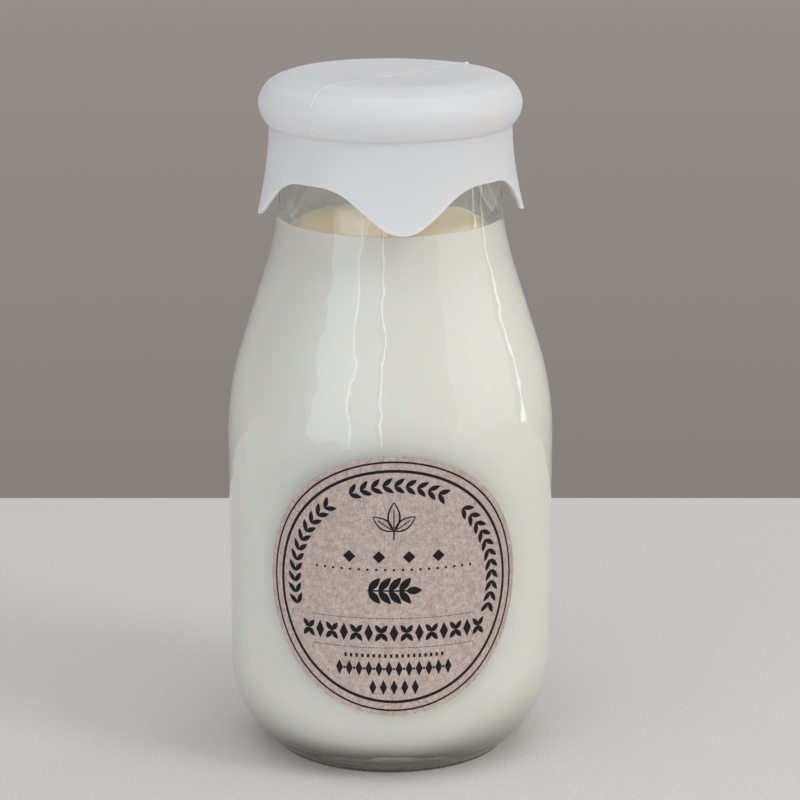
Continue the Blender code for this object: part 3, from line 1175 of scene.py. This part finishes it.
@dataclass
class SoftCap:
    """The one-piece cap: a rounded bead, a flat top and a flared skirt of four petals."""

    shape: BottleShape
    gap: float = 0.0003
    skirt_thickness: float = 0.0015
    edge_thinner: float = 0.0004
    overhang: float = 0.0024
    bead_out: float = 0.0083
    bead_up: float = 0.0068
    bead_down: float = 0.0073
    crease: Point = (0.0288, 0.00195)
    dome_start: float = 0.0223
    crease_tilt: float = math.radians(48)
    flare: float = 0.0028
    flare_power: float = 1.7
    petals: int = 4
    petal_turn: float = math.radians(5.4)
    tip_depth: float = 0.0331
    drop: float = 0.0102
    point: float = 1.75
    lean: Point = (0.00010, 0.00035)
    seam_turn: float = math.radians(49.5)
    seam_offset: float = -0.0022
    seam_radius: float = 0.00028
    seam_depth: float = 0.00019
    seam_deeper: float = 0.00011
    seam_reach: float = -0.0285
    unevenness: float = 0.00012
    top_unevenness: float = 0.00010
    top_sink: float = 0.0003
    edge_round: float = 0.00022
    nub_turn: float = math.radians(44.5)
    nub_radius: float = 0.0257
    nub_size: tuple[float, float, float] = (0.0009, 0.0003, 0.0005)
    steps: int = 288

    def __post_init__(self) -> None:
        """Works out the heights and radii that follow from the glass and the frame."""
        self.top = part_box("cap")[1][2]
        self.underside = self.shape.height + self.gap
        self.bore = self.shape.neck_radius + self.shape.lip_overhang + self.gap
        self.skirt_radius = self.bore + self.skirt_thickness
        self.bead_in = self.skirt_radius + self.overhang - self.bead_out
        self.bead_centre = self.top - self.bead_up
        self.under = math.acos((self.skirt_radius - self.bead_in) / self.bead_out)
        self.skirt_top = self.bead_centre - self.bead_down * math.sin(self.under)
        self.skirt_bottom = self.top - self.tip_depth

    def skirt_outer(self, z: float) -> float:
        """The skirt's outside radius at a height."""
        share = min(1.0, max(0.0, (self.skirt_top - z) / (self.skirt_top - self.skirt_bottom)))
        return self.skirt_radius + self.flare * share**self.flare_power

    def skirt_wall(self, z: float) -> float:
        """The skirt's thickness at a height: it thins towards the edge."""
        share = (self.skirt_top - z) / (self.skirt_top - self.skirt_bottom)
        return self.skirt_thickness - self.edge_thinner * max(0.0, share) ** 2

    def edge_height(self, angle: float) -> float:
        """The height of the scalloped edge at an angle."""
        lobe = (1 + math.cos(self.petals * (angle - self.petal_turn))) / 2
        return self.skirt_bottom + self.drop * (1 - lobe**self.point)

    def bead_arc(self) -> list[Point]:
        """The outside of the bead, from the skirt up to the flat top."""
        lower = arc((self.bead_in, self.bead_centre), (self.bead_out, self.bead_down),
                    -math.degrees(self.under), 0, 20)[1:]
        widest = self.bead_in + self.bead_out
        edge, drop = self.crease
        knee = self.top - drop - (widest - edge) * math.tan(self.crease_tilt)
        upper = []
        for t in spread(0, 1, 24)[1:]:
            keep, pull, end = (1 - t) ** 2, 2 * t * (1 - t), t**2
            upper.append((widest * (keep + pull) + edge * end,
                          self.bead_centre * keep + knee * pull + (self.top - drop) * end))
        dome = [(r, self.dome(r)) for r in spread(edge, self.dome_start, 16)[1:]]
        return lower + upper + dome

    def outline(self) -> list[Point]:
        """The cap's section with its skirt still straight-edged."""
        rim = self.edge_round
        rows = spread(self.skirt_bottom, self.skirt_top, 30)
        inside = [(self.skirt_outer(z) - self.skirt_wall(z), z) for z in rows[::-1]]
        inside = inside[:-1] + [(inside[-1][0], inside[-1][1] + rim * 0.7)]
        outside = [(self.skirt_outer(z), z) for z in rows]
        outside = [(outside[0][0], outside[0][1] + rim * 0.7)] + outside[1:]
        edge = [
            (inside[-1][0] + rim * 0.35, self.skirt_bottom + rim * 0.2),
            (inside[-1][0] + rim, self.skirt_bottom),
            (outside[0][0] - rim, self.skirt_bottom),
            (outside[0][0] - rim * 0.35, self.skirt_bottom + rim * 0.2),
        ]
        bore = [(self.bore, z) for z in spread(self.underside, self.skirt_top, 8)[:-1]]
        middle = [(r, self.underside) for r in spread(0.0, self.bore, 10)[:-1]]
        top = [(r, self.top) for r in spread(self.dome_start, 0.0, 24)[1:]]
        return middle + bore + inside + edge + outside + self.bead_arc() + top

    def shape_point(self, place: Vector) -> Vector:
        """Cuts the skirt into petals and gives the moulding a soft unevenness."""
        angle = math.atan2(place.y, place.x)
        radius = math.hypot(place.x, place.y)
        if place.z < self.skirt_top - 1e-5:
            offset = self.skirt_outer(place.z) - radius
            share = (self.skirt_top - place.z) / (self.skirt_top - self.skirt_bottom)
            z = self.skirt_top - share * (self.skirt_top - self.edge_height(angle))
            radius = self.skirt_outer(z) - offset
            lean = self.lean[0] + self.lean[1] * share**2 * max(0.0, math.cos(angle))
            place = Vector((radius * math.cos(angle) + lean, radius * math.sin(angle), z))
        if radius > self.bore + 0.0005 or place.z > self.underside + 0.001:
            way = Vector((place.x, place.y, 0.0)).normalized()
            wave = noise.noise(place * 55.0)
            place = place + way * (self.unevenness * wave)
            if place.z > self.bead_centre:
                sink = self.top_sink * max(0.0, 1 - (radius / self.bead_in) ** 2)
                place.z += self.top_unevenness * noise.noise(place * 70.0) - sink
        return place

    def dome(self, radius: float) -> float:
        """The height of the top at a radius inside the crease."""
        edge, drop = self.crease
        fall = drop / (edge - self.dome_start) ** 2
        return self.top - fall * max(0.0, radius - self.dome_start) ** 2

    def seam_path(self) -> list[Vector]:
        """The parting line: straight across the top, then down the front of the bead."""
        along = Vector((math.cos(self.seam_turn), math.sin(self.seam_turn), 0.0))
        aside = Vector((-along.y, along.x, 0.0)) * self.seam_offset
        path = []
        for t in spread(self.nub_radius - 0.0005, self.seam_reach, 90):
            place = along * t + aside
            on_top = self.shape_point(Vector((*place.xy, self.dome(place.length))))
            path.append(on_top - Vector((0.0, 0.0, self.seam_depth)))
        side = [point for point in self.bead_arc()[::-1]
                if point[0] > self.crease[0] and point[1] < self.top - self.crease[1]]
        for count, (r, z) in enumerate(side):
            t = -math.sqrt(r**2 - self.seam_offset**2)
            place = self.shape_point(Vector((*(along * t + aside).xy, z)))
            inward = Vector((place.x, place.y, 0.0)).normalized()
            sunk = self.seam_depth + self.seam_deeper * min(1.0, 2.5 * count / len(side))
            slope = math.pi / 2 * (1 - count / len(side)) * 0.6
            path.append(place + inward * (-sunk * math.cos(slope))
                        - Vector((0.0, 0.0, sunk * math.sin(slope))))
        return path

    def nub(self) -> bmesh.types.BMesh:
        """The little tail of flash at the far end of the parting line."""
        made = bmesh.new()
        bmesh.ops.create_uvsphere(made, u_segments=16, v_segments=10, radius=1.0)
        bmesh.ops.scale(made, vec=self.nub_size, verts=made.verts)
        bmesh.ops.rotate(made, verts=made.verts, matrix=Matrix.Rotation(self.nub_turn, 3, "Z"))
        bmesh.ops.translate(made, verts=made.verts, vec=(
            self.nub_radius * math.cos(self.nub_turn), self.nub_radius * math.sin(self.nub_turn),
            self.dome(self.nub_radius) - 0.0001))
        return made

    def build(self) -> None:
        """Builds the cap with its parting line."""
        vinyl = SoftVinyl().make()
        made = turned(self.outline(), self.steps, self.petal_turn)
        move_points(made, self.shape_point)
        bmesh.ops.recalc_face_normals(made, faces=made.faces)
        Piece("soft_cap", Rides.CAP, Slot.VINYL, ("cap",), 40.0).place(made, vinyl)
        seam = join([tube(self.seam_path(), self.seam_radius), self.nub()])
        Piece("cap_parting_line", Rides.CAP, Slot.VINYL, (), 60.0).place(seam, Flash().make())


@dataclass
class Studio:
    """The plain floor, the soft lights, the grey surround and the camera."""

    camera_distance: float = 0.750
    elevation: float = math.radians(14.51)
    aim: Vector = field(default_factory=lambda: Vector((0.00235, 0.0, 0.0853)))
    lens: float = 139.5
    floor_back: float = 0.207
    floor_half: float = 1.2
    floor_front: float = 1.2
    cloth: Colour = (0.640, 0.605, 0.585)
    cloth_pale: Colour = (0.695, 0.660, 0.640)
    wall_low: Colour = (0.236, 0.210, 0.196)
    wall_high: Colour = (0.300, 0.274, 0.262)
    room: Colour = (0.44, 0.45, 0.47)
    glow_radius: float = 0.021
    glow_radiance: float = 1.4
    glow_below_lip: float = 0.0012
    bounce: tuple[float, float, float] = (0.36, 0.16, 0.40)
    bounce_start: float = 0.030
    bounce_height: float = 0.0010

    def floor(self) -> None:
        """Lays the pale floor."""
        made = bmesh.new()
        bmesh.ops.create_grid(made, x_segments=2, y_segments=2, size=1.0)
        depth = (self.floor_front + self.floor_back) / 2
        bmesh.ops.scale(made, vec=(self.floor_half, depth, 1.0), verts=made.verts)
        bmesh.ops.translate(
            made, vec=(0.0, self.floor_back - depth, 0.0), verts=made.verts)
        mesh = bpy.data.meshes.new("studio_floor")
        made.to_mesh(mesh)
        made.free()
        g = Graph("floor_cloth")
        weave = g.noise(1500.0, 2.0, stretch=(1.0, 0.4, 1.0))
        mesh.materials.append(g.close(g.node(
            "BsdfPrincipled", Base_Color=g.fade(weave, 0.3, 0.7, self.cloth, self.cloth_pale),
            Roughness=0.9, Normal=g.bump(weave, 0.3, 0.0002),
        )))
        laid = bpy.data.objects.new("studio_floor", mesh)
        bpy.context.scene.collection.objects.link(laid)

    def surround(self) -> None:
        """A warm grey wall behind, cooler and lighter room in front."""
        g = Graph("surround", world=True)
        split = g.node("SeparateXYZ", Vector=g.node("TexCoord").outputs["Generated"])
        wall = g.fade(split.outputs["Z"], -0.28, -0.12, self.wall_low, self.wall_high)
        room = g.fade(split.outputs["Y"], 0.25, -0.35, wall, self.room)
        bpy.context.scene.world = g.close(g.node("Background", Color=room, Strength=1.0))

    @staticmethod
    def lamp(name: str, size: Point, radiance: float, colour: Colour) -> bpy.types.Object:
        """Makes a rectangular lamp at the origin that faces down and that no camera sees.

        Args:
            name: The lamp's name.
            size: Its width and height.
            radiance: How bright its face is.
            colour: Its colour.

        Returns:
            The lamp.
        """
        data = bpy.data.lights.new(name, "AREA")
        data.shape = "RECTANGLE"
        data.size, data.size_y = size
        data.energy = radiance * math.pi * size[0] * size[1]
        data.color = colour
        made = bpy.data.objects.new(name, data)
        bpy.context.scene.collection.objects.link(made)
        made.visible_camera = False
        return made

    def light(self, name: str, azimuth: float, elevation: float, size: Point, radiance: float,
              colour: Colour, mirrored: bool = True, distance: float = 1.3) -> None:
        """Hangs one soft light that faces the bottle.

        Args:
            name: The light's name.
            azimuth: Its direction in degrees, from the front towards +X.
            elevation: Its height above the horizon in degrees.
            size: Its width and height.
            radiance: How bright its face is.
            colour: Its colour.
            mirrored: Whether glossy surfaces show it.
            distance: How far it is from the bottle's middle.
        """
        hung = self.lamp(name, size, radiance, colour)
        a, e = math.radians(azimuth), math.radians(elevation)
        way = Vector((math.sin(a) * math.cos(e), -math.cos(a) * math.cos(e), math.sin(e)))
        hung.location = Vector((0.0, 0.0, self.aim.z)) + way * distance
        hung.rotation_euler = (-way).to_track_quat("-Z", "Y").to_euler()
        hung.visible_glossy = mirrored

    def glow(self) -> None:
        """A warm disc under the cap, for the light that the soft cap lets through."""
        width = 2 * self.glow_radius
        hung = self.lamp("cap_glow", (width, width), 1.0, (1.0, 0.87, 0.72))
        hung.data.shape = "DISK"
        hung.data.energy = self.glow_radiance * (math.pi * self.glow_radius) ** 2
        hung.location = (0.0, 0.0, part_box("glass_bottle")[1][2] - self.glow_below_lip)
        hung.visible_glossy = hung.visible_transmission = False

    def floor_bounce(self) -> None:
        """A sheet just above the floor in front, for the light it throws up under the heel."""
        width, depth, radiance = self.bounce
        laid = self.lamp("floor_bounce", (width, depth), radiance, (1.0, 0.97, 0.93))
        laid.data.cycles.use_multiple_importance_sampling = False
        laid.location = (0.0, -self.bounce_start - depth / 2, self.bounce_height)
        laid.rotation_euler = (math.pi, 0.0, 0.0)
        laid.visible_glossy = laid.visible_transmission = False

    def lights(self) -> None:
        """Hangs the windows, the soft cards, the low sun and the ceiling."""
        cool, plain, green = (0.92, 0.96, 1.0), (1.0, 0.995, 0.98), (0.90, 1.0, 0.96)
        blue = (0.84, 0.92, 1.0)
        self.light("window_right", 74, 14, (1.3, 1.2), 0.64, plain)
        self.light("window_right_edge", 107, 6, (0.050, 1.5), 3.6, green)
        self.light("window_front", -43, 5, (0.64, 1.10), 1.7, blue)
        self.light("window_front_dim", -18.5, 5, (0.38, 1.10), 0.9, blue)
        self.light("window_front_bar", -28.5, 5, (0.035, 1.10), 4.0, blue)
        self.light("window_front_edge", -6.5, 5, (0.035, 1.10), 5.0, blue)
        self.light("window_above", 58, 41, (0.32, 0.24), 12.5, plain)
        self.light("card_left", -96, 18, (0.80, 1.0), 0.4, cool, False)
        self.light("card_low_front", 0, 4, (1.4, 0.16), 0.9, plain, False, 0.9)
        self.light("low_sun", 128, 17, (0.30, 0.30), 7.0, plain, False)
        self.light("ceiling", 0, 84, (1.6, 1.6), 1.0, cool)
        self.glow()
        self.floor_bounce()

    def camera(self) -> None:
        """Sets the camera a little above the bottle, in front."""
        data = bpy.data.cameras.new("camera")
        data.lens = self.lens
        data.sensor_width = 36.0
        eye = bpy.data.objects.new("camera", data)
        bpy.context.scene.collection.objects.link(eye)
        back = Vector((0.0, -math.cos(self.elevation), math.sin(self.elevation)))
        eye.location = self.aim + back * self.camera_distance
        eye.rotation_euler = (-back).to_track_quat("-Z", "Y").to_euler()
        bpy.context.scene.camera = eye

    def build(self) -> None:
        """Sets up the whole studio."""
        self.floor()
        self.surround()
        self.lights()
        self.camera()
        bpy.context.scene.view_settings.view_transform = "Standard"


def main() -> None:
    """Builds every piece in order."""
    logging.basicConfig(level=logging.INFO, format="%(name)s: %(message)s")
    shape = BottleShape()
    Studio().build()
    GlassJar(shape).build()
    WaxAndWick(shape).build()
    PaperLabel(shape).build()
    SoftCap(shape).build()


if __name__ == "__main__":
    main()
